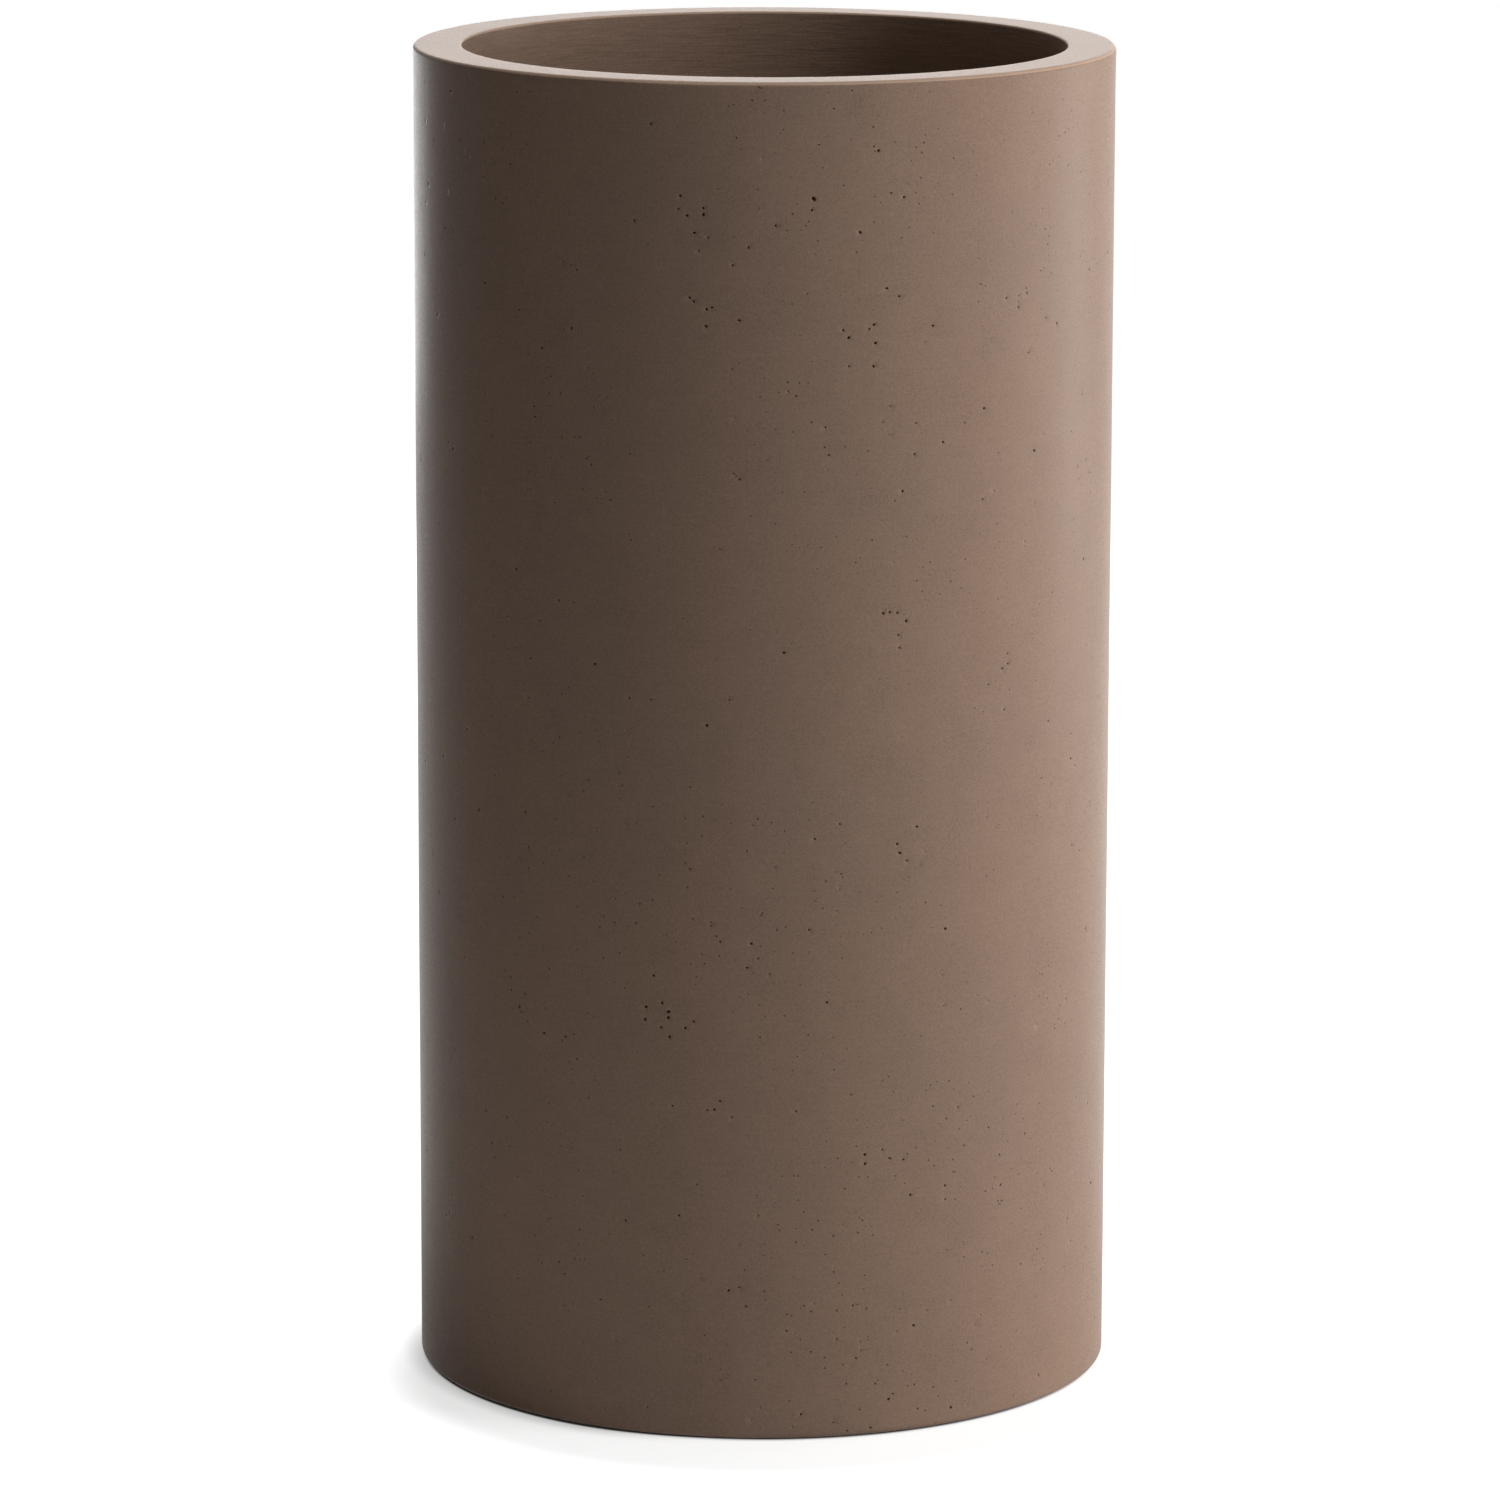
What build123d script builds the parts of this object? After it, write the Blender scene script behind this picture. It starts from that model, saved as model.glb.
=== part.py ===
# Round cement planter: a tall, straight, round shell cast in one, open at the top, with a
# rubber stopper in its drain hole and thin pads under its foot ring.
# Millimetres, +Z up. The origin is on the ground, under the middle of the planter.

import os

from build123d import *

# Overall sizes
planter_diameter = 318.0
planter_height = 610.0

# Wall and rim
rim_wall = 22.0
core_draft = 0.5
rim_outer_rounding = 1.8
rim_inner_rounding = 1.0

# Floor and foot ring
floor_thickness = 28.0
floor_corner_rounding = 12.0
foot_ring_width = 42.0
foot_ring_height = 6.0
foot_ring_draft = 20.0
base_edge_rounding = 2.4
recess_corner_rounding = 2.0

# Drain hole, and the round seat that the stopper's flange lies in
drain_diameter = 26.0
drain_edge_rounding = 1.0
seat_depth = 5.0
seat_clearance = 4.0

# Drain stopper: its flange, the plug below it and the tab above it
flange_overlap = 7.0
flange_thickness = 3.5
flange_edge_rounding = 1.2
plug_length = 18.0
plug_taper = 2.0
plug_tip_rounding = 1.8
core_clearance = 0.9
rib_clearance = 0.08
rib_radius = 1.5
rib_count = 3
tab_width = 20.0
tab_height = 12.5
web_thickness = 4.2
web_inset = 1.0
web_foot_rounding = 1.0
bead_radius = 3.0

# Foot pads
pad_count = 4
pad_first_angle = 45.0
pad_diameter = 26.0
pad_thickness = 1.0
pad_edge_rounding = 0.3

# Heights above the ground
base_level = pad_thickness
recess_level = base_level + foot_ring_height
floor_level = recess_level + floor_thickness
seat_level = floor_level - seat_depth
flange_level = seat_level + flange_thickness
bead_level = flange_level + tab_height - bead_radius

# Radii
outer_radius = planter_diameter / 2
mouth_radius = outer_radius - rim_wall
recess_radius = outer_radius - foot_ring_width
drain_radius = drain_diameter / 2
flange_radius = drain_radius + flange_overlap
seat_radius = flange_radius + seat_clearance
core_radius = drain_radius - core_clearance
rib_centre_radius = drain_radius - rib_clearance - rib_radius
pad_circle_radius = outer_radius - foot_ring_width / 2

os.makedirs("parts", exist_ok=True)

# The shell: wall, rim, floor and foot ring in one casting
with BuildPart() as planter_shell:
    with BuildSketch(Plane.XY.offset(base_level)):
        Circle(outer_radius)
    extrude(amount=planter_height - base_level)
    fillet(planter_shell.edges().group_by(Axis.Z)[0], base_edge_rounding)
    fillet(planter_shell.edges().group_by(Axis.Z)[-1], rim_outer_rounding)

    # The hollow narrows a little towards the floor, so that the core lifts out of the casting
    with BuildSketch(Plane.XY.offset(planter_height)):
        Circle(mouth_radius)
    extrude(amount=floor_level - planter_height, taper=core_draft, mode=Mode.SUBTRACT)
    rim_face = planter_shell.faces().filter_by(Plane.XY).sort_by(Axis.Z)[-1]
    fillet(rim_face.inner_wires()[0].edges(), rim_inner_rounding)
    hollow_floor = planter_shell.faces().filter_by(Plane.XY).sort_by(Axis.Z)[-2]
    fillet(hollow_floor.edges(), floor_corner_rounding)

    # The recess under the floor leaves a ring to stand on
    with BuildSketch(Plane.XY.offset(base_level)):
        Circle(recess_radius)
    extrude(amount=foot_ring_height, taper=foot_ring_draft, mode=Mode.SUBTRACT)
    recess_ceiling = planter_shell.faces().filter_by(Plane.XY).sort_by(Axis.Z)[1]
    fillet(recess_ceiling.edges(), recess_corner_rounding)

    # The drain hole runs down from its seat, with its outlet and the seat's mouth rounded
    with Locations((0, 0, floor_level)):
        CounterBoreHole(drain_radius, seat_radius, seat_depth)
    drain_edges = planter_shell.edges(Select.LAST).filter_by(GeomType.CIRCLE).sort_by(Axis.Z)
    fillet([drain_edges[0], drain_edges[-1]], drain_edge_rounding)
planter_shell.part.label = "planter_shell"
export_step(planter_shell.part, "parts/planter_shell.step")

# The stopper: its flange lies on the seat, and its ribs seal against the hole
with BuildPart() as drain_plug:
    with BuildSketch(Plane.XY.offset(seat_level)):
        Circle(flange_radius)
    extrude(amount=flange_thickness)
    fillet(drain_plug.edges().filter_by(GeomType.CIRCLE), flange_edge_rounding)

    with BuildSketch(Plane.XY.offset(seat_level)):
        Circle(core_radius)
    extrude(amount=-plug_length, taper=plug_taper)
    fillet(drain_plug.edges().group_by(Axis.Z)[0], plug_tip_rounding)

    # Sealing ribs, evenly spaced along the plug
    rib_pitch = plug_length / (rib_count + 1)
    rib_levels = [seat_level - rib_pitch * (number + 1) for number in range(rib_count)]
    with BuildSketch(Plane.XZ):
        with Locations([(rib_centre_radius, level) for level in rib_levels]):
            Circle(rib_radius)
    revolve(axis=Axis.Z)

    # The tab's web stands on the flange
    with BuildSketch(Plane.XY.offset(flange_level)):
        SlotOverall(tab_width - 2 * web_inset, web_thickness)
    extrude(amount=bead_level - flange_level)
    web_foot = drain_plug.edges(Select.LAST).group_by(Axis.Z)[0]
    fillet(web_foot, web_foot_rounding)

    # A round bead along the tab's top gives fingers a grip
    with BuildSketch(Plane.XZ):
        with Locations((0, bead_level)):
            SlotOverall(tab_width, 2 * bead_radius)
            Rectangle(tab_width, bead_radius, align=(Align.CENTER, Align.MAX), mode=Mode.SUBTRACT)
    revolve(axis=Axis((0, 0, bead_level), (1, 0, 0)))
drain_plug.part.label = "drain_plug"
export_step(drain_plug.part, "parts/drain_plug.step")

# The pads, stuck on the middle of the foot ring
for number in range(pad_count):
    pad_angle = pad_first_angle + number * 360 / pad_count
    with BuildPart() as foot_pad:
        with BuildSketch(Plane.XY):
            with PolarLocations(pad_circle_radius, 1, start_angle=pad_angle):
                Circle(pad_diameter / 2)
        extrude(amount=pad_thickness)
        fillet(foot_pad.edges().group_by(Axis.Z)[0], pad_edge_rounding)
    foot_pad.part.label = f"foot_pad_{number + 1}"
    export_step(foot_pad.part, f"parts/{foot_pad.part.label}.step")
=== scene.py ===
# Dresses the round cement planter: a cast shell with air holes, a rubber stopper and foot pads.
# Metres, +Z up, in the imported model's frame: the origin is on the ground under the planter.

import random
from math import atan2, cos, pi, radians, sin, sqrt, tan

import bpy
from mathutils import Matrix, Vector, noise


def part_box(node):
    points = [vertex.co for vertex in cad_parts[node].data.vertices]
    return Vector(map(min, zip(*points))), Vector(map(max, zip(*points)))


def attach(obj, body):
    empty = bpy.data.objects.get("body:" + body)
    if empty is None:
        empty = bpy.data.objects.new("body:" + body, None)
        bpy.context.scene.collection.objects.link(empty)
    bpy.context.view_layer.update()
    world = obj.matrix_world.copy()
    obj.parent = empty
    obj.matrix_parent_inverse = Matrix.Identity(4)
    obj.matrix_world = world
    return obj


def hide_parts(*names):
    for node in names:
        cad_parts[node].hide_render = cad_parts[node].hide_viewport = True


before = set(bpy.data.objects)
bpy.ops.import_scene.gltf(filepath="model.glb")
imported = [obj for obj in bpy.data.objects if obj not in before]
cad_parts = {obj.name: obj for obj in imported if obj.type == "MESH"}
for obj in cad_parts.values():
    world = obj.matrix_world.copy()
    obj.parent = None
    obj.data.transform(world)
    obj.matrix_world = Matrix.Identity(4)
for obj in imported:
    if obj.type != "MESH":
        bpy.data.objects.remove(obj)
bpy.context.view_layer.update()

# The shell's sizes, the outer ones from the frame and the rest as in the solids
shell_low, shell_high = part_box("planter_shell")
OUTER_RADIUS = (shell_high[0] - shell_low[0]) / 2
BASE_LEVEL = shell_low[2]
RIM_LEVEL = shell_high[2]
RIM_WALL = 0.022
CORE_DRAFT = radians(0.5)
RIM_OUTER_ROUNDING = 0.0018
RIM_INNER_ROUNDING = 0.0010
BASE_EDGE_ROUNDING = 0.0024
FOOT_RING_WIDTH = 0.042
FOOT_RING_HEIGHT = 0.006
FOOT_RING_DRAFT = 20.0
RECESS_CORNER_ROUNDING = 0.002
FLOOR_THICKNESS = 0.028
FLOOR_CORNER_ROUNDING = 0.012
SEAT_RADIUS = 0.024
SEAT_DEPTH = 0.005
DRAIN_RADIUS = 0.013
DRAIN_EDGE_ROUNDING = 0.001

MOUTH_RADIUS = OUTER_RADIUS - RIM_WALL
RECESS_LEVEL = BASE_LEVEL + FOOT_RING_HEIGHT
FLOOR_LEVEL = RECESS_LEVEL + FLOOR_THICKNESS
SEAT_LEVEL = FLOOR_LEVEL - SEAT_DEPTH

# Steps of the shell's mesh
COLUMNS = 252
WALL_ROWS = 148
INNER_ROWS = 30
WALL_TOP = RIM_LEVEL - 1.9 * RIM_OUTER_ROUNDING
WALL_FOOT = BASE_LEVEL + BASE_EDGE_ROUNDING
CELL_WIDTH = 2 * pi * OUTER_RADIUS / COLUMNS
CELL_HEIGHT = (WALL_TOP - WALL_FOOT) / WALL_ROWS

# The photograph's frame and its camera, solved from the outlines of the rim and base
FRAME_PX = 1500
FOCAL_PX = 7643
SENSOR = 36.0
CAMERA_DISTANCE = 3.4514
CAMERA_HEIGHT = 0.9831
CAMERA_PITCH = radians(11.455)
CAMERA_YAW = 0.00173
CAMERA_ROLL = radians(0.11)


# Camera

def add_camera():
    """A level camera at the photograph's place, tipped down towards the planter."""
    data = bpy.data.cameras.new("photo_camera")
    data.sensor_width = SENSOR
    data.lens = FOCAL_PX / FRAME_PX * SENSOR
    data.clip_end = 50
    camera = bpy.data.objects.new("photo_camera", data)
    bpy.context.collection.objects.link(camera)
    turn = Matrix.Rotation(CAMERA_YAW, 4, "Z") @ Matrix.Rotation(pi / 2 - CAMERA_PITCH, 4, "X")
    place = Matrix.Translation((0, -CAMERA_DISTANCE, CAMERA_HEIGHT))
    camera.matrix_world = place @ turn @ Matrix.Rotation(CAMERA_ROLL, 4, "Z")
    bpy.context.scene.camera = camera


# Lights, world and floor

# The floor's own light to the camera at the planter's foot, in its painted shadow; 1 is white
PAINTED_SHADOW_GLOW = 0.7


def add_area(name, place, aim, width, height, power):
    """A soft rectangular lamp that faces aim."""
    data = bpy.data.lights.new(name, "AREA")
    data.shape = "RECTANGLE"
    data.size = width
    data.size_y = height
    data.energy = power
    lamp = bpy.data.objects.new(name, data)
    bpy.context.collection.objects.link(lamp)
    lamp.visible_camera = False
    lamp.location = place
    lamp.rotation_euler = (Vector(aim) - Vector(place)).to_track_quat("-Z", "Y").to_euler()
    return lamp


def add_lights():
    """A high key softbox on the right, low lamps round it, panels above and behind, and two weak fills.

    The strip low at the back left is there for its reflection in the wall's left edge."""
    middle = (0, 0, 0.32)
    # Name, degrees right of the camera's side, distance, height, width, height of the lamp, power
    lamps = (
        ("key_softbox", 70, 2.1, 2.4, 0.8, 0.8, 31.0),
        ("low_side", 90, 2.1, 0.4, 0.8, 0.8, 11.5),
        ("low_behind", 115, 2.1, 0.4, 0.8, 0.8, 14.0),
        ("low_front", 50, 2.1, 0.4, 0.8, 0.8, 3.6),
        ("top_panel", 0, 0.0, 2.6, 1.0, 1.0, 6.6),
        ("back_panel", 180, 2.2, 0.8, 1.0, 1.0, 5.2),
        ("back_strip", 197.5, 2.3, 0.3, 1.5, 0.4, 4.0),
        ("front_fill", 0, 2.3, 0.8, 0.8, 0.8, 2.5),
        ("foot_fill", -45, 0.42, 0.03, 0.2, 0.05, 0.03),
    )
    for name, turn, distance, level, width, height, power in lamps:
        place = (distance * sin(radians(turn)), -distance * cos(radians(turn)), level)
        add_area(name, place, middle, width, height, power)


def add_world():
    """White to the camera, in reflections and through glass, and dark to everything else."""
    world = bpy.data.worlds.new("studio")
    bpy.context.scene.world = world
    world.use_nodes = True
    tree = world.node_tree
    background = tree.nodes["Background"]
    background.inputs["Color"].default_value = (1, 1, 1, 1)
    path = tree.nodes.new("ShaderNodeLightPath")
    white = path.outputs["Is Camera Ray"]
    for output in ("Is Glossy Ray", "Is Transmission Ray"):
        either = tree.nodes.new("ShaderNodeMath")
        either.operation = "MAXIMUM"
        tree.links.new(white, either.inputs[0])
        tree.links.new(path.outputs[output], either.inputs[1])
        white = either.outputs[0]
    tree.links.new(white, background.inputs["Strength"])


def floor_paper():
    """The floor's material: lit paper that glows white to the camera, with a painted shadow round the
    planter's foot.
    """
    n = Nodes("floor_paper")
    path = n.add("ShaderNodeLightPath")
    camera_ray, glossy_ray = path.outputs["Is Camera Ray"], path.outputs["Is Glossy Ray"]
    away = n.length(n.place)
    foot = OUTER_RADIUS

    # Painted shade: the glow is cut in the gap under the foot, where the lamps don't reach, and lowered just
    # outside it on the left
    split = n.add("ShaderNodeSeparateXYZ")
    n.link(n.place, split.inputs[0])
    on_left = n.band(split.outputs["X"], -0.02, -0.09)
    outside = n.maths("MULTIPLY", on_left, n.band(away, foot - 0.002, foot + 0.011, 0.32, 0.0))
    gap_end = n.maths("SUBTRACT", away, n.maths("MULTIPLY", on_left, 0.0012))
    painted_contact_shade = n.maths("SUBTRACT", n.band(gap_end, foot - 0.0045, foot - 0.0015), outside, clamp=True)
    # The painted soft shadow round the foot lies to the front, so it is measured from a point further
    # forward
    from_front = n.length(n.moved((0, 0.045, 0)))
    shadow = n.band(from_front, foot - 0.006, foot + 0.023, PAINTED_SHADOW_GLOW, 1.0)
    seen = n.maths("MULTIPLY", n.maths("MULTIPLY", painted_contact_shade, shadow), camera_ray)
    # In reflections the floor glows less near the foot: painted shade
    mirrored = n.maths("MULTIPLY", n.band(away, foot + 0.001, 0.5, 0.45, 1.0), glossy_ray)

    paper = n.add("ShaderNodeBsdfDiffuse")
    paper.inputs["Color"].default_value = (0.6, 0.6, 0.6, 1)
    glow = n.add("ShaderNodeEmission")
    n.link(n.maths("ADD", seen, mirrored), glow.inputs["Strength"])
    glowing_paper = n.add("ShaderNodeAddShader")
    n.link(paper.outputs[0], glowing_paper.inputs[0])
    n.link(glow.outputs[0], glowing_paper.inputs[1])
    # The light that it throws back at the planter comes from plain paper
    bounce = n.add("ShaderNodeBsdfDiffuse")
    bounce.inputs["Color"].default_value = (0.75, 0.75, 0.75, 1)
    looked_at = n.maths("ADD", camera_ray, glossy_ray, clamp=True)
    upper_side = n.mixed_shader(looked_at, bounce.outputs[0], glowing_paper.outputs[0])
    # From below, the camera sees through it
    from_below = n.maths("MULTIPLY", n.add("ShaderNodeNewGeometry").outputs["Backfacing"], camera_ray)
    clear = n.add("ShaderNodeBsdfTransparent")
    surface = n.mixed_shader(from_below, upper_side, clear.outputs[0])
    n.link(surface, n.tree.nodes["Material Output"].inputs["Surface"])
    n.tree.nodes.remove(n.shader)
    return n.material


def add_floor():
    """A wide pale floor under the planter."""
    reach = 14.0
    corners = [(-reach, -reach, 0), (reach, -reach, 0), (reach, reach, 0), (-reach, reach, 0)]
    mesh = bpy.data.meshes.new("floor")
    mesh.from_pydata(corners, [], [(0, 1, 2, 3)])
    mesh.materials.append(floor_paper())
    floor = bpy.data.objects.new("floor", mesh)
    bpy.context.collection.objects.link(floor)


# Materials

class Nodes:
    """Short calls for building a material's nodes."""

    def __init__(self, name):
        self.material = bpy.data.materials.new(name)
        self.material.use_nodes = True
        self.tree = self.material.node_tree
        self.shader = self.tree.nodes["Principled BSDF"]
        self.place = self.add("ShaderNodeTexCoord").outputs["Object"]

    def add(self, kind, **settings):
        node = self.tree.nodes.new(kind)
        for name, value in settings.items():
            setattr(node, name, value)
        return node

    def link(self, source, target):
        if hasattr(source, "is_output"):
            self.tree.links.new(source, target)
        else:
            target.default_value = source

    def maths(self, operation, a, b=0.0, clamp=False):
        node = self.add("ShaderNodeMath", operation=operation, use_clamp=clamp)
        self.link(a, node.inputs[0])
        self.link(b, node.inputs[1])
        return node.outputs[0]

    def scaled(self, scale, vector=None):
        """The place in the object, stretched along each axis."""
        node = self.add("ShaderNodeMapping")
        node.inputs["Scale"].default_value = scale
        self.link(vector or self.place, node.inputs["Vector"])
        return node.outputs[0]

    def moved(self, offset):
        """The place in the object plus an offset."""
        node = self.add("ShaderNodeVectorMath", operation="ADD")
        node.inputs[1].default_value = offset
        self.link(self.place, node.inputs[0])
        return node.outputs["Vector"]

    def length(self, vector):
        node = self.add("ShaderNodeVectorMath", operation="LENGTH")
        self.link(vector, node.inputs[0])
        return node.outputs["Value"]

    def noise(self, scale, detail=3.0, roughness=0.55, vector=None):
        node = self.add("ShaderNodeTexNoise")
        node.inputs["Scale"].default_value = scale
        node.inputs["Detail"].default_value = detail
        node.inputs["Roughness"].default_value = roughness
        self.link(vector or self.place, node.inputs["Vector"])
        return node.outputs["Fac"]

    def dots(self, scale, vector=None):
        """Distance from the nearest of many scattered points, in cells."""
        node = self.add("ShaderNodeTexVoronoi")
        node.inputs["Scale"].default_value = scale
        self.link(vector or self.place, node.inputs["Vector"])
        return node

    def band(self, value, low, high, to_low=0.0, to_high=1.0, smooth=True):
        node = self.add("ShaderNodeMapRange")
        if smooth:
            node.interpolation_type = "SMOOTHSTEP"
        self.link(value, node.inputs["Value"])
        node.inputs["From Min"].default_value = low
        node.inputs["From Max"].default_value = high
        node.inputs["To Min"].default_value = to_low
        node.inputs["To Max"].default_value = to_high
        return node.outputs[0]

    def mixed(self, share, a, b):
        node = self.add("ShaderNodeMix", data_type="RGBA")
        self.link(share, node.inputs["Factor"])
        self.link(a, node.inputs["A"])
        self.link(b, node.inputs["B"])
        return node.outputs["Result"]

    def mixed_shader(self, share, a, b):
        node = self.add("ShaderNodeMixShader")
        for source, target in zip((share, a, b), node.inputs):
            self.link(source, target)
        return node.outputs[0]

    def dimmed(self, colour, factor):
        """The colour times a grey factor."""
        grey = self.add("ShaderNodeCombineColor")
        for channel in grey.inputs:
            self.link(factor, channel)
        node = self.add("ShaderNodeMix", data_type="RGBA", blend_type="MULTIPLY")
        node.inputs["Factor"].default_value = 1.0
        self.link(colour, node.inputs["A"])
        self.link(grey.outputs[0], node.inputs["B"])
        return node.outputs["Result"]

    def bump(self, height, distance, strength=1.0, normal=None):
        node = self.add("ShaderNodeBump")
        node.inputs["Strength"].default_value = strength
        node.inputs["Distance"].default_value = distance
        self.link(height, node.inputs["Height"])
        if normal:
            self.link(normal, node.inputs["Normal"])
        return node.outputs["Normal"]


CEMENT = (0.36, 0.245, 0.182, 1)
CEMENT_WARM = (0.382, 0.25, 0.178, 1)
CEMENT_COOL = (0.34, 0.242, 0.188, 1)
# A paler tone for the rim: partly the struck rim's own, partly painted light on a top lit from above
CEMENT_PALE_AND_LIT = (0.66, 0.46, 0.34, 1)
# Painted shade for the inside of the modelled air holes
PIT_PAINTED_SHADE = (0.07, 0.045, 0.03, 1)
# The dry surface mirrors only at grazing angles, as one with this index does
CEMENT_IOR = 1.1


def cement(name, streaks=0.0, pale=0.0, rough=0.3, grain=1.0, ior=CEMENT_IOR, pinholes=1.0):
    """Cast cement: clouded colour, sandy grain and pinholes. The pit attribute paints shade into the air
    holes.
    """
    n = Nodes(name)
    clouds = n.noise(9, 4, 0.6)
    patches = n.noise(42, 4, 0.6)
    sand = n.noise(1300, 3, 0.7)
    fine = n.noise(2600, 1, 0.5)

    tint = n.mixed(n.band(clouds, 0.35, 0.65), CEMENT_COOL, CEMENT_WARM)
    tint = n.mixed(0.75, tint, CEMENT)
    # Paler, partly in the thing's own tone and partly as painted light from above
    if pale:
        tint = n.mixed(pale, tint, CEMENT_PALE_AND_LIT)

    shade = n.maths("MULTIPLY", n.band(patches, 0.3, 0.7, 0.98, 1.02), n.band(clouds, 0.3, 0.7, 0.99, 1.01))
    shade = n.maths("MULTIPLY", shade, n.band(sand, 0.3, 0.7, 1 - 0.13 * grain, 1 + 0.13 * grain))
    if streaks:
        brush = n.noise(1.0, 3, 0.7, vector=n.scaled((55, 55, 900)))
        shade = n.maths("MULTIPLY", shade, n.band(brush, 0.25, 0.75, 1 - 0.12 * streaks, 1 + 0.12 * streaks))

    # Pinholes too small to model, painted dark for the shade inside them: a few per square centimetre, in
    # drifts
    cells = n.dots(430)
    drift = n.band(n.noise(16, 3, 0.6), 0.38, 0.6, 0.3, 1.0)
    chance = n.maths("FRACT", n.maths("MULTIPLY", cells.outputs["Color"], 7.0))
    radius = n.maths("MULTIPLY", n.band(chance, 0.56, 1.0, 0.0, 0.22 * pinholes, smooth=False), drift)
    hole = n.band(n.maths("SUBTRACT", radius, cells.outputs["Distance"]), -0.03, 0.06)
    shade = n.maths("MULTIPLY", shade, n.band(hole, 0, 1, 1.0, 0.33, smooth=False))

    # Coarser patches, where sand shows through the skin
    rough_patch = n.band(n.noise(55, 3, 0.6), 0.54, 0.68)
    specks = n.maths("MULTIPLY", rough_patch, n.band(n.noise(1900, 1, 0.5), 0.52, 0.66))
    shade = n.maths("MULTIPLY", shade, n.band(specks, 0, 1, 1.0, 1 - 0.16 * grain, smooth=False))

    # Painted shade in the air holes, darkest where the pit value is 1
    pit = n.add("ShaderNodeAttribute", attribute_name="pit").outputs["Fac"]
    colour = n.mixed(pit, n.dimmed(tint, shade), PIT_PAINTED_SHADE)
    n.link(colour, n.shader.inputs["Base Color"])

    n.link(n.band(sand, 0.3, 0.7, rough - 0.05, rough + 0.07), n.shader.inputs["Roughness"])
    n.shader.inputs["IOR"].default_value = ior

    height = n.maths("ADD", n.maths("MULTIPLY", sand, 0.6), n.maths("MULTIPLY", fine, 0.4))
    normal = n.bump(height, 0.00006 * grain)
    normal = n.bump(n.maths("SUBTRACT", 1.0, hole), 0.0003, normal=normal)
    if streaks:
        normal = n.bump(brush, 0.0002 * streaks, normal=normal)
    n.link(normal, n.shader.inputs["Normal"])
    return n.material


def rubber(name, colour, mottle, rough=0.72):
    """Moulded rubber: nearly black, dusty in patches, with a fine matt texture."""
    n = Nodes(name)
    dust = n.noise(120, 4, 0.6)
    skin = n.noise(2400, 2, 0.5)
    n.link(n.mixed(n.band(dust, 0.4, 0.75), colour, mottle), n.shader.inputs["Base Color"])
    n.link(n.band(dust, 0.3, 0.7, rough - 0.08, rough + 0.1), n.shader.inputs["Roughness"])
    n.link(n.bump(skin, 0.00005), n.shader.inputs["Normal"])
    return n.material


# The cast shell

SWELL_DEPTH = 0.00022
RIPPLE_DEPTH = 0.00006


def uneven(point):
    """How far the cast surface lies inside its true one, at a point: slow swells and faint ripples."""
    swell = 0.5 + 0.5 * noise.noise(point * 8)
    ripple = 0.5 + 0.5 * noise.noise(point * 34)
    # The struck rim is flatter than the wall
    share = min(1.0, max(0.2, (RIM_LEVEL - point.z) / 0.02))
    return (SWELL_DEPTH * swell + RIPPLE_DEPTH * ripple) * share


def rim_rounding(turn):
    """The rounding of the rim's outer edge, which hand smoothing left widest at the front right."""
    around = Vector((cos(turn), sin(turn), 0))
    widest_turn = radians(-65)
    share = 1.0 + 0.2 * cos(turn - widest_turn)
    share += 0.25 * noise.noise(around * 3.1) + 0.1 * noise.noise(around * 17)
    return RIM_OUTER_ROUNDING * min(1.7, max(0.6, share))


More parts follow.
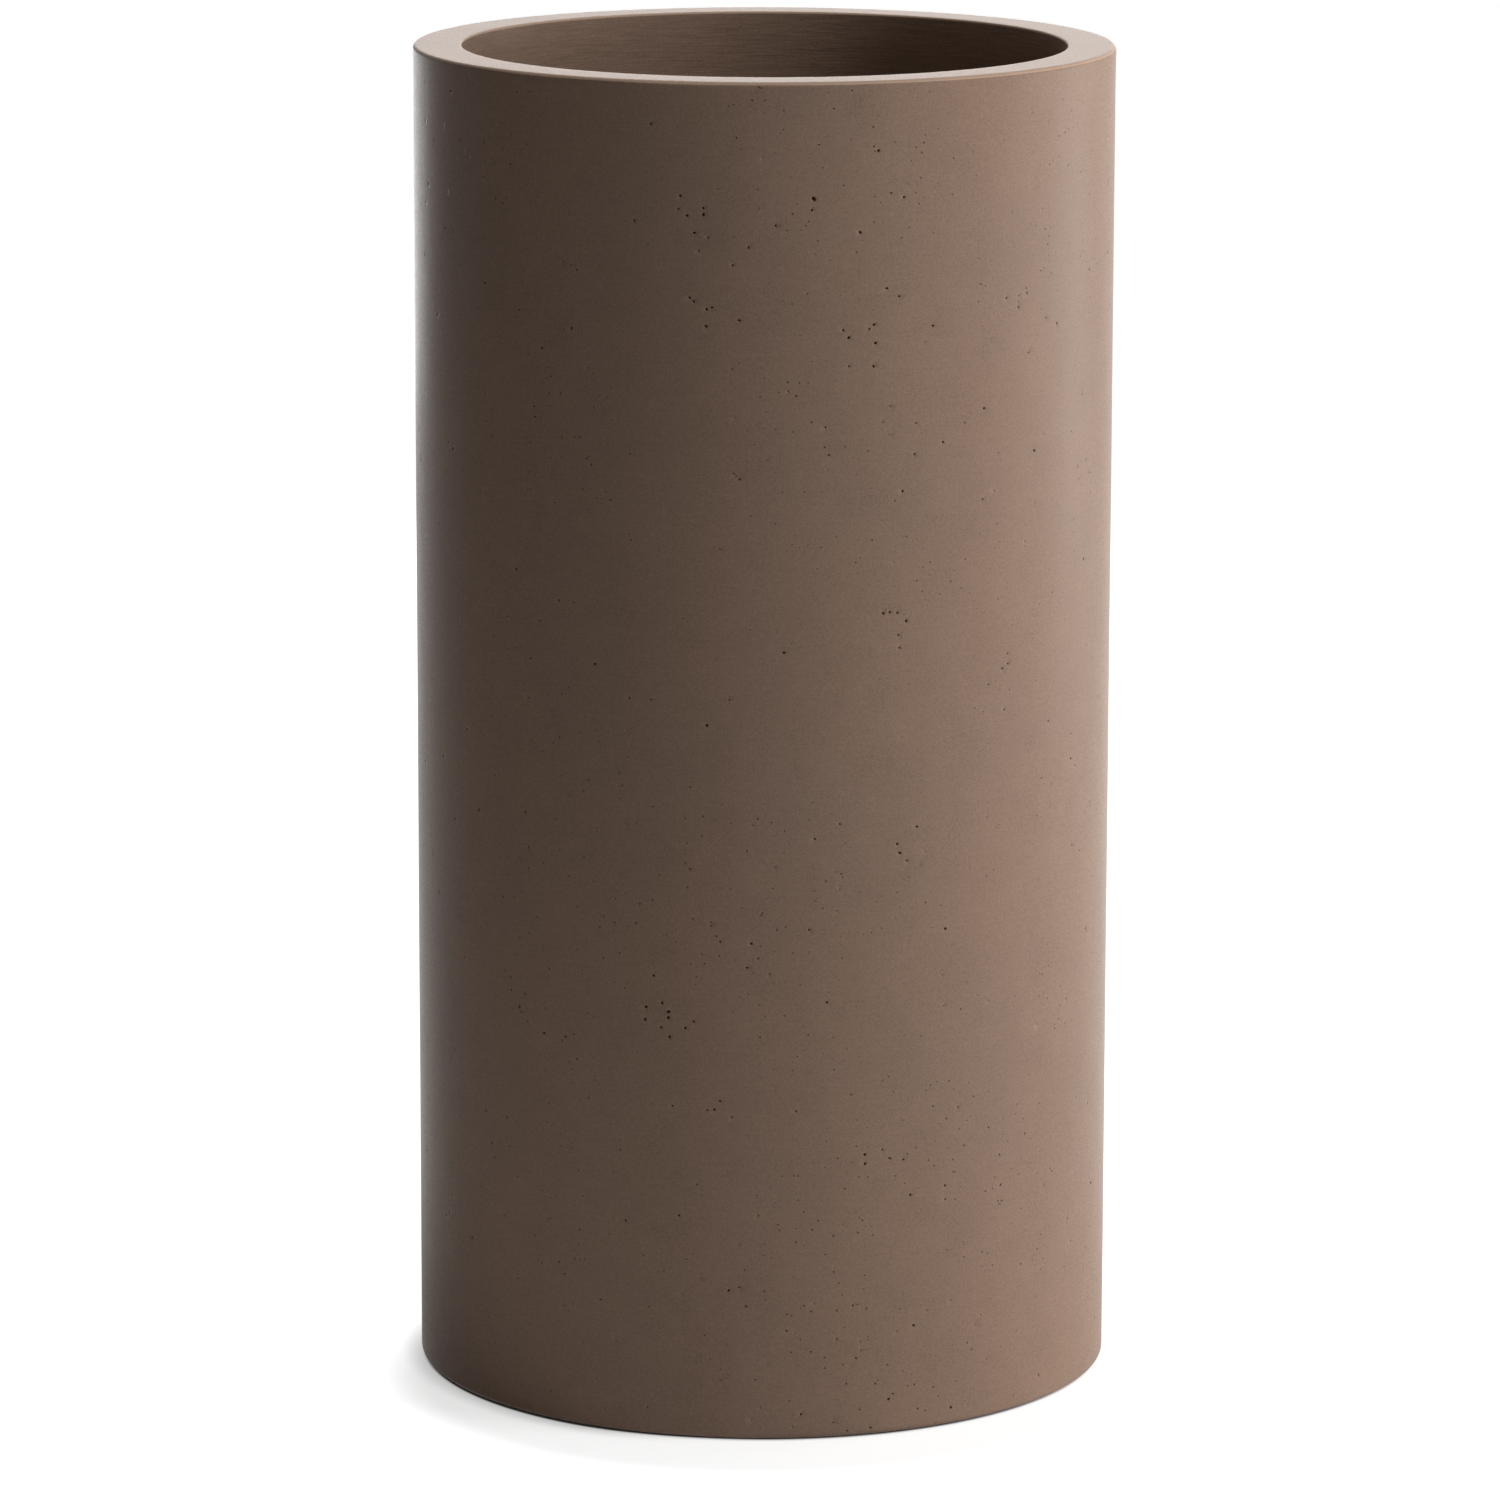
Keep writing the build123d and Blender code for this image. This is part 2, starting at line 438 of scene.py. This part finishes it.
class ShellMesh:
    """The shell's points and faces, built ring by ring. Each point has a pit value, 1 deep in a hole, which
    sets the shade painted there.
    """

    def __init__(self):
        self.points = []
        self.pits = []
        self.faces = []
        self.kinds = []

    def add_point(self, point, pit=0.0):
        self.points.append(point)
        self.pits.append(pit)
        return len(self.points) - 1

    def add_face(self, corners, kind):
        self.faces.append(corners)
        self.kinds.append(kind)

    def ring(self, stop):
        """A ring of points, each pulled in against outward, the surface's normal as (radial, up).

        The stop is (radius, level, outward), or a function that gives them at a turn."""
        places = []
        for column in range(COLUMNS):
            turn = 2 * pi * column / COLUMNS
            radius, level, outward = stop(turn) if callable(stop) else stop
            true = Vector((radius * cos(turn), radius * sin(turn), level))
            normal = Vector((outward[0] * cos(turn), outward[0] * sin(turn), outward[1]))
            places.append(self.add_point(true - normal * uneven(true)))
        return places

    def strip(self, lower, upper, kind, holes=None):
        """Faces between two rings. Where holes names a column, its air hole is built instead."""
        for column in range(COLUMNS):
            right = (column + 1) % COLUMNS
            corners = (lower[column], lower[right], upper[right], upper[column])
            if holes and column in holes:
                self.air_hole(corners, holes[column], kind)
            else:
                self.add_face(corners, kind)

    def air_hole(self, corners, hole, kind):
        """A small round pit in a cell of the outer wall, with a rounded lip and an uneven outline."""
        turn, level, radius, depth, seed = hole
        steps = 10
        rng = random.Random(seed)
        stretch = rng.uniform(0.8, 1.25)
        lean = rng.uniform(0, pi)
        wobble = [rng.uniform(0.88, 1.12) for _ in range(steps)]
        outward = Vector((cos(turn), sin(turn), 0))
        across = Vector((-sin(turn), cos(turn), 0))
        centre = outward * OUTER_RADIUS + Vector((0, 0, level))
        # Rings from the flat wall inwards: share of the radius, share of the depth, pit value for the
        # painted shade
        steps_in = ((1.2, 0.0, 0.0), (1.0, 0.07, 0.15), (0.82, 0.55, 0.8), (0.45, 0.95, 1.0))
        rings = []
        for share, sink, pit in steps_in:
            places = []
            for step in range(steps):
                angle = 2 * pi * step / steps
                reach = radius * share * wobble[step]
                u = reach * cos(angle) * stretch
                v = reach * sin(angle) / stretch
                side = u * cos(lean) - v * sin(lean)
                rise = u * sin(lean) + v * cos(lean)
                flat = centre + across * side + Vector((0, 0, rise))
                on_wall = Vector((flat.x, flat.y, 0)).normalized() * OUTER_RADIUS
                true = Vector((on_wall.x, on_wall.y, flat.z))
                inward = uneven(true) + depth * sink
                places.append(self.add_point(true - outward * inward, pit))
            rings.append(places)
        bottom = self.add_point(centre - outward * (depth + uneven(centre)), 1.0)

        self.join_cell(corners, rings[0], turn, level, kind)
        for outer, inner in zip(rings, rings[1:]):
            for step in range(steps):
                after = (step + 1) % steps
                self.add_face((outer[step], outer[after], inner[after], inner[step]), kind)
        for step in range(steps):
            self.add_face((rings[-1][step], rings[-1][(step + 1) % steps], bottom), kind)

    def join_cell(self, corners, ring, turn, level, kind):
        """Triangles from a cell's four corners to the ring of points inside it."""

        def angle_of(index):
            point = self.points[index]
            side = (atan2(point.y, point.x) - turn + pi) % (2 * pi) - pi
            return atan2(point.z - level, side * OUTER_RADIUS)

        outer = sorted((angle_of(index), index) for index in corners)
        inner = sorted((angle_of(index), index) for index in ring)
        a = b = 0
        count_a, count_b = len(outer), len(inner)
        while a < count_a or b < count_b:
            here_a, here_b = outer[a % count_a][1], inner[b % count_b][1]
            next_a = outer[(a + 1) % count_a][0] + 2 * pi * ((a + 1) // count_a)
            next_b = inner[(b + 1) % count_b][0] + 2 * pi * ((b + 1) // count_b)
            if b >= count_b or (a < count_a and next_a < next_b):
                self.add_face((here_a, outer[(a + 1) % count_a][1], here_b), kind)
                a += 1
            else:
                self.add_face((here_a, inner[(b + 1) % count_b][1], here_b), kind)
                b += 1

    def build(self, name, materials):
        mesh = bpy.data.meshes.new(name)
        mesh.from_pydata([tuple(p) for p in self.points], [], self.faces)
        for material in materials:
            mesh.materials.append(material)
        mesh.polygons.foreach_set("material_index", self.kinds)
        mesh.polygons.foreach_set("use_smooth", [True] * len(self.faces))
        # The pit value, which the cement reads for its painted shade in the holes
        pit = mesh.attributes.new("pit", "FLOAT", "POINT")
        pit.data.foreach_set("value", self.pits)
        mesh.validate()
        mesh.update()
        shell = bpy.data.objects.new(name, mesh)
        bpy.context.collection.objects.link(shell)
        return shell


def arc(centre, radius, start, end, steps):
    """(radius, level, outward) along a rounding, from angle start to end, 0 outwards and 90 up."""
    found = []
    for step in range(steps + 1):
        angle = radians(start + (end - start) * step / steps)
        normal = (cos(angle), sin(angle))
        found.append((centre[0] + radius * normal[0], centre[1] + radius * normal[1], normal))
    return found


def hollow_arc(centre, radius, start, end, steps):
    """As arc, for a rounded inner corner, where the surface faces its centre."""
    return [(r, z, (-n[0], -n[1])) for r, z, n in arc(centre, radius, start, end, steps)]


def rim_edge_stop(degrees):
    """A stop on the rim's outer rounding, from 0 at the wall to 90 at the rim's flat."""
    normal = (cos(radians(degrees)), sin(radians(degrees)))

    def stop(turn):
        rounding = rim_rounding(turn)
        sink = rounding * (1 - normal[0]), rounding * (1 - normal[1])
        return OUTER_RADIUS - sink[0], RIM_LEVEL - sink[1], normal

    return stop


# Drifts of air holes, read from the photograph: the middle (x, y) in its frame, the number of
# holes, how far they scatter and the width of the widest one, both in millimetres
DRIFTS = (
    ((810, 200), 1, 0, 2.0),
    ((690, 210), 7, 6, 1.4),
    ((740, 240), 6, 9, 1.3),
    ((870, 220), 4, 8, 1.3),
    ((700, 310), 6, 3, 1.4),
    ((890, 320), 5, 8, 1.4),
    ((860, 360), 4, 7, 1.3),
    ((1030, 330), 4, 12, 1.1),
    ((940, 440), 4, 9, 1.2),
    ((890, 620), 6, 6, 1.4),
    ((1000, 660), 5, 12, 1.1),
    ((910, 840), 4, 8, 1.4),
    ((770, 960), 4, 9, 1.2),
    ((670, 1020), 9, 6, 1.6),
    ((730, 1100), 4, 7, 1.2),
    ((880, 1160), 6, 6, 1.3),
    ((930, 1190), 3, 7, 1.2),
    ((720, 1290), 3, 7, 1.2),
)


# Small holes scattered over the whole wall besides the drifts
LOOSE_HOLES = 640


def wall_place(pixel):
    """(turn, level) where a ray through a pixel of the photograph's frame meets the outer wall."""
    camera = bpy.context.scene.camera
    x = (pixel[0] - FRAME_PX / 2) / FOCAL_PX
    y = (FRAME_PX / 2 - pixel[1]) / FOCAL_PX
    start = camera.matrix_world.translation
    ray = camera.matrix_world.to_3x3() @ Vector((x, y, -1))
    a = ray.x**2 + ray.y**2
    b = start.x * ray.x + start.y * ray.y
    c = start.x**2 + start.y**2 - OUTER_RADIUS**2
    hit = start + ray * ((-b - sqrt(b * b - a * c)) / a)
    return atan2(hit.y, hit.x), hit.z


def all_holes():
    """The wall's air holes as {(row, column): hole}: the photograph's drifts, then loose ones all round."""
    holes = {}

    def put(turn, level, radius, depth_share, seed):
        column = int(turn % (2 * pi) / (2 * pi) * COLUMNS)
        row = int((level - WALL_FOOT) / CELL_HEIGHT)
        if not 0 <= row < WALL_ROWS or (row, column) in holes:
            return
        # The hole's lip, stretched and wobbly, stays inside its cell
        lip_reach = radius * 1.7
        room_across = CELL_WIDTH / 2 - lip_reach
        room_up = CELL_HEIGHT / 2 - lip_reach
        middle_turn = 2 * pi * (column + 0.5) / COLUMNS
        middle_level = WALL_FOOT + CELL_HEIGHT * (row + 0.5)
        off = ((turn - middle_turn + pi) % (2 * pi) - pi) * OUTER_RADIUS
        off = max(-room_across, min(room_across, off))
        rise = max(-room_up, min(room_up, level - middle_level))
        turn, level = middle_turn + off / OUTER_RADIUS, middle_level + rise
        holes[row, column] = (turn, level, radius, radius * depth_share, seed)

    rng = random.Random(17)
    for pixel, count, scatter, widest in DRIFTS:
        middle_turn, middle_level = wall_place(pixel)
        for number in range(count):
            turn = middle_turn + rng.gauss(0, scatter / 1000) / OUTER_RADIUS
            level = middle_level + rng.gauss(0, scatter / 1000)
            width = widest * (1 - 0.4 * number / count)
            put(turn, level, width / 2000, 1.5, len(holes))

    rng = random.Random(41)
    wanted = LOOSE_HOLES
    seed = 1000
    while wanted > 0:
        turn = rng.uniform(0, 2 * pi)
        level = rng.uniform(WALL_FOOT, WALL_TOP)
        seed += 1
        place = Vector((OUTER_RADIUS * cos(turn), OUTER_RADIUS * sin(turn), level))
        drift = 0.5 + 0.5 * noise.noise(place * 18)
        if rng.random() < drift**2 * 2:
            width = 0.5 + 0.9 * rng.random() ** 2.2
            put(turn, level, width / 2000, rng.uniform(1.1, 1.6), seed)
            wanted -= 1
    return holes


# The skin's four kinds of face, in the order of its materials
OUTSIDE, INSIDE, RIM, UNDERSIDE = range(4)
# Ways that a surface can face, as (radial, up)
UP, DOWN, OUTWARD, INWARD = (0, 1), (0, -1), (1, 0), (-1, 0)
# Middles of the mouth's and the drain outlet's roundings, as (radius, level)
MOUTH_CORNER = (MOUTH_RADIUS + RIM_INNER_ROUNDING, RIM_LEVEL - RIM_INNER_ROUNDING)
DRAIN_OUTLET = (DRAIN_RADIUS + DRAIN_EDGE_ROUNDING, RECESS_LEVEL + DRAIN_EDGE_ROUNDING)


def of_kind(kind, stops):
    return [(stop, kind) for stop in stops]


def flat_ring(start, end, level, outward, steps):
    """Stops across a flat ring from the radius start towards end, with both left out."""
    return [(start + (end - start) * step / steps, level, outward) for step in range(1, steps)]


def rim_stops():
    """Over the rim, from the wall's top to the mouth. The rim's pale colour, partly painted light from
    above, starts part of the way round its edge.
    """
    steps = 7
    edge = [rim_edge_stop(90 * step / steps) for step in range(steps + 1)]
    flat_start = OUTER_RADIUS - 2.2 * RIM_OUTER_ROUNDING
    flat = [(flat_start, RIM_LEVEL, UP)] + flat_ring(flat_start, MOUTH_CORNER[0], RIM_LEVEL, UP, 5)
    mouth = arc(MOUTH_CORNER, RIM_INNER_ROUNDING, 90, 180, 6)
    return of_kind(OUTSIDE, edge[:3]) + of_kind(RIM, edge[3:] + flat + mouth)


def hollow_radius(level):
    return MOUTH_RADIUS - (RIM_LEVEL - level) * tan(CORE_DRAFT)


def hollow_stops():
    """Down the hollow's drafted wall and across its floor to the stopper's seat."""
    top = MOUTH_CORNER[1]
    corner_level = FLOOR_LEVEL + FLOOR_CORNER_ROUNDING
    levels = [top + (corner_level - top) * step / INNER_ROWS for step in range(1, INNER_ROWS + 1)]
    wall = [(hollow_radius(level), level, INWARD) for level in levels]
    corner = (hollow_radius(corner_level) - FLOOR_CORNER_ROUNDING, corner_level)
    turn_in = hollow_arc(corner, FLOOR_CORNER_ROUNDING, 0, -90, 7)[1:]
    seat_mouth = (SEAT_RADIUS + DRAIN_EDGE_ROUNDING, FLOOR_LEVEL - DRAIN_EDGE_ROUNDING)
    floor = flat_ring(corner[0], seat_mouth[0], FLOOR_LEVEL, UP, 6)
    seat_wall = arc(seat_mouth, DRAIN_EDGE_ROUNDING, 90, 180, 4)
    return of_kind(INSIDE, wall + turn_in + floor + seat_wall)


def drain_stops():
    """Across the stopper's seat and down the drain hole, whose corners are slightly broken."""
    corner = 0.0004
    edge = 0.0003
    seat = [(SEAT_RADIUS, SEAT_LEVEL + corner, INWARD), (SEAT_RADIUS - corner, SEAT_LEVEL, UP)]
    hole = [(DRAIN_RADIUS + edge, SEAT_LEVEL, UP), (DRAIN_RADIUS, SEAT_LEVEL - edge, INWARD)]
    outlet = arc(DRAIN_OUTLET, DRAIN_EDGE_ROUNDING, 180, 270, 4)
    return of_kind(INSIDE, seat + hole) + of_kind(UNDERSIDE, outlet)


def foot_stops():
    """Across the recess's ceiling, down its drafted side and over the foot ring to the wall's foot."""
    recess_foot = OUTER_RADIUS - FOOT_RING_WIDTH
    lean = radians(FOOT_RING_DRAFT)
    corner_height = FOOT_RING_HEIGHT - RECESS_CORNER_ROUNDING
    corner_radius = recess_foot - corner_height * tan(lean) - RECESS_CORNER_ROUNDING / cos(lean)
    corner = (corner_radius, RECESS_LEVEL - RECESS_CORNER_ROUNDING)
    ceiling = flat_ring(DRAIN_OUTLET[0], corner_radius, RECESS_LEVEL, DOWN, 6)
    turn_down = hollow_arc(corner, RECESS_CORNER_ROUNDING, 90, FOOT_RING_DRAFT, 5)
    edge = 0.0006
    side_foot = (recess_foot - edge * tan(lean), BASE_LEVEL + edge, (-cos(lean), -sin(lean)))
    ring_start = (recess_foot + edge, BASE_LEVEL, DOWN)
    base_corner = (OUTER_RADIUS - BASE_EDGE_ROUNDING, WALL_FOOT)
    ring = [side_foot, ring_start] + flat_ring(recess_foot, base_corner[0], BASE_LEVEL, DOWN, 4)
    turn_up = arc(base_corner, BASE_EDGE_ROUNDING, -90, 0, 6)[:-1]
    return of_kind(UNDERSIDE, ceiling + turn_down + ring) + of_kind(OUTSIDE, turn_up)


def build_shell():
    """The whole casting as one closed skin: foot ring, wall, rim, hollow, drain hole and recess."""
    shell = ShellMesh()
    holes = all_holes()
    levels = [WALL_FOOT + CELL_HEIGHT * row for row in range(WALL_ROWS + 1)]
    wall = [shell.ring((OUTER_RADIUS, level, OUTWARD)) for level in levels]
    for row in range(WALL_ROWS):
        found = {column: hole for (at, column), hole in holes.items() if at == row}
        shell.strip(wall[row], wall[row + 1], OUTSIDE, found)

    last = wall[-1]
    for stop, kind in rim_stops() + hollow_stops() + drain_stops() + foot_stops():
        ring = shell.ring(stop)
        shell.strip(last, ring, kind)
        last = ring
    shell.strip(last, wall[0], OUTSIDE)

    materials = (
        cement("cement_outside", streaks=0.2),
        cement("cement_inside", streaks=1.0, rough=0.45, pinholes=0.7),
        # The rim is paler, partly in its own tone and partly as painted light from above
        cement("cement_rim", pale=0.85, grain=0.5, ior=1.08, pinholes=0.5),
        cement("cement_underside", rough=0.5, grain=1.4),
    )
    piece = shell.build("cast_shell", materials)
    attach(piece, "planter")
    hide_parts("planter_shell")
    return piece


def dress_nodes():
    """Materials for the stopper and the pads, whose solids stay as they are."""
    plug = rubber("stopper_rubber", (0.028, 0.027, 0.026, 1), (0.06, 0.056, 0.052, 1))
    pad = rubber("pad_rubber", (0.045, 0.042, 0.04, 1), (0.09, 0.083, 0.076, 1), rough=0.85)
    for name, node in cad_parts.items():
        if name == "planter_shell":
            continue
        material = plug if name == "drain_plug" else pad
        node.data.materials.clear()
        node.data.materials.append(material)


bpy.context.scene.view_settings.view_transform = "Standard"
add_camera()
add_lights()
add_world()
add_floor()
build_shell()
dress_nodes()
